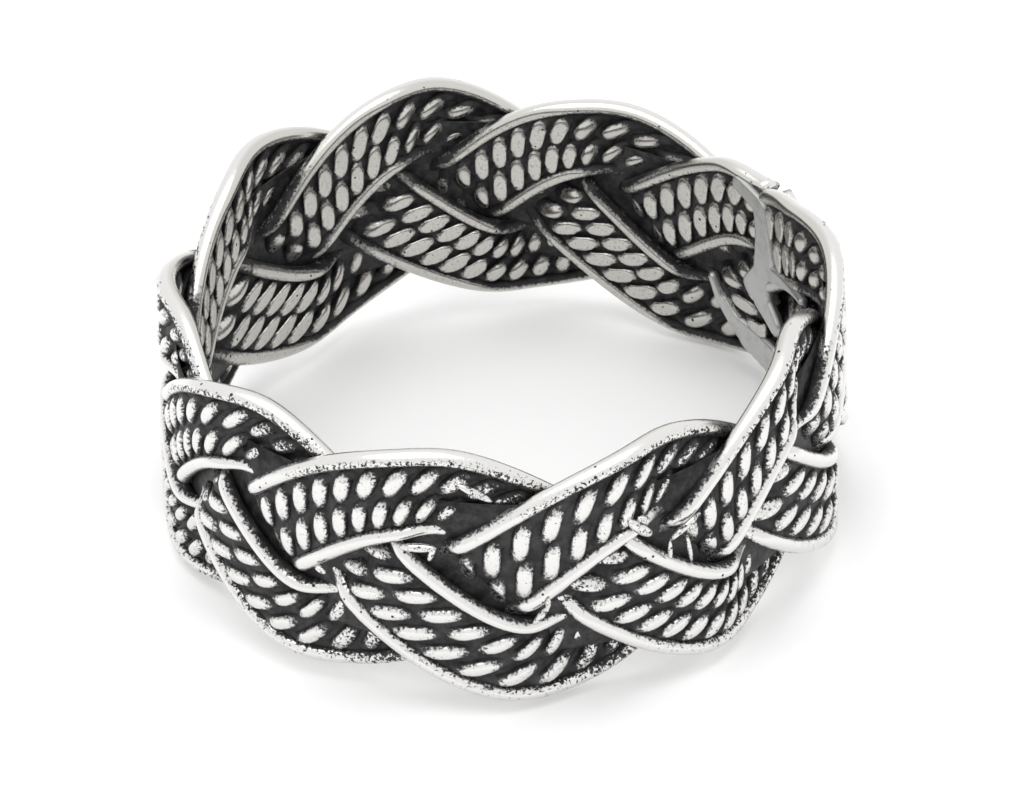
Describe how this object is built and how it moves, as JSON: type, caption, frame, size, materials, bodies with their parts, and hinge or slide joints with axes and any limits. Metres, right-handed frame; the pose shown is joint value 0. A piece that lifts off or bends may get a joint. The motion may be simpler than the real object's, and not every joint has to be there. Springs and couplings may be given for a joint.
{
  "type": "braided band ring",
  "caption": "Finger ring whose band is a flat three-strand plait of twisted wire ropes between plain edge wires, soldered at one joint.",
  "frame": {"origin": "centre of the ring's lower edge, where it rests on a surface", "axes": "+Z along the finger hole, -Y towards the front of the ring, soldered joint at the back right"},
  "size_m": [0.0202, 0.0202, 0.009],
  "materials": {
    "strand_silver": "sterling silver, polished on its crests and oxidised dark in its recesses",
    "solder_silver": "silver solder, filed and polished flush with the inside of the band"
  },
  "bodies": {
    "root": {"strand_1": "strand_silver", "strand_2": "strand_silver", "strand_3": "strand_silver", "solder_seam": "solder_silver"}
  },
  "joints": []
}
